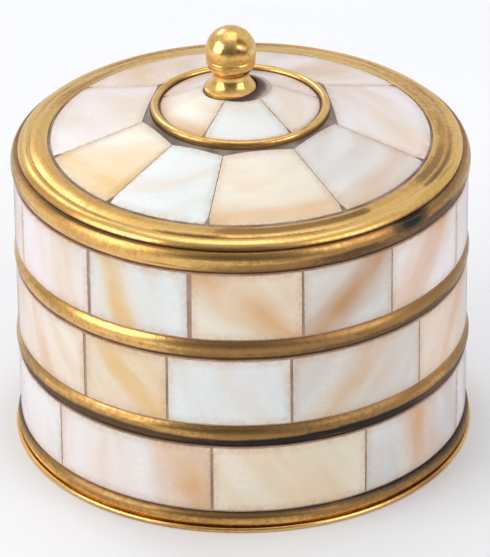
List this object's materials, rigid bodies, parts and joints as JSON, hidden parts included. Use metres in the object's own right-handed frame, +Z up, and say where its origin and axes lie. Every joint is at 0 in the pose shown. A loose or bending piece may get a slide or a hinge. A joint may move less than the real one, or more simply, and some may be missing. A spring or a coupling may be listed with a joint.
{
  "type": "pill box",
  "caption": "Round lidded pill box: brass body and low conical lid clad in mother-of-pearl tiles between half-round brass beads, with a ball knob that lifts the lid off.",
  "frame": {"origin": "middle of the underside of the base plate", "axes": "+Z up, along the box's axis; -Y is the front that the tile angles are counted from, and +X is its right"},
  "size_m": [0.0644, 0.0644, 0.0611],
  "materials": {
    "brass": "polished, tarnished darker in the corners",
    "inner_brass": "satin, with lathe marks",
    "grout": "matte grey-brown resin, slightly rough",
    "pearl_white": "polished mother-of-pearl, cool white",
    "pearl_cream": "polished mother-of-pearl, cream",
    "pearl_peach": "polished mother-of-pearl, peach with orange streaks"
  },
  "bodies": {
    "box": {"base_plate": "brass", "foot_moulding": "brass", "lower_bead": "brass", "upper_bead": "brass", "mouth_band": "brass", "wall_tube": "inner_brass", "side_grout": "grout", "lower_tile_1": "pearl_cream", "lower_tile_2": "pearl_cream", "lower_tile_3": "pearl_peach", "lower_tile_4": "pearl_white", "lower_tile_5": "pearl_cream", "lower_tile_6": "pearl_white", "lower_tile_7": "pearl_peach", "lower_tile_8": "pearl_cream", "lower_tile_9": "pearl_white", "middle_tile_1": "pearl_peach", "middle_tile_2": "pearl_white", "middle_tile_3": "pearl_white", "middle_tile_4": "pearl_peach", "middle_tile_5": "pearl_cream", "middle_tile_6": "pearl_white", "middle_tile_7": "pearl_peach", "middle_tile_8": "pearl_cream", "middle_tile_9": "pearl_white", "middle_tile_10": "pearl_cream", "upper_tile_1": "pearl_white", "upper_tile_2": "pearl_cream", "upper_tile_3": "pearl_peach", "upper_tile_4": "pearl_peach", "upper_tile_5": "pearl_white", "upper_tile_6": "pearl_cream", "upper_tile_7": "pearl_white", "upper_tile_8": "pearl_peach", "upper_tile_9": "pearl_cream", "upper_tile_10": "pearl_white", "upper_tile_11": "pearl_cream", "upper_tile_12": "pearl_white"},
    "lid": {"lid_rim": "brass", "lid_ring": "brass", "knob": "brass", "lid_sheet": "inner_brass", "lid_collar": "inner_brass", "knob_washer": "inner_brass", "knob_nut": "inner_brass", "lid_grout": "grout", "outer_lid_tile_1": "pearl_white", "outer_lid_tile_2": "pearl_peach", "outer_lid_tile_3": "pearl_white", "outer_lid_tile_4": "pearl_cream", "outer_lid_tile_5": "pearl_cream", "outer_lid_tile_6": "pearl_white", "outer_lid_tile_7": "pearl_white", "outer_lid_tile_8": "pearl_white", "inner_lid_tile_1": "pearl_cream", "inner_lid_tile_2": "pearl_white", "inner_lid_tile_3": "pearl_cream", "inner_lid_tile_4": "pearl_white", "inner_lid_tile_5": "pearl_white"}
  },
  "joints": [
    {"name": "lid_lift", "type": "slide", "parent": "box", "child": "lid", "axis": [0, 0, 1], "range_m": [0, 0.03]}
  ]
}
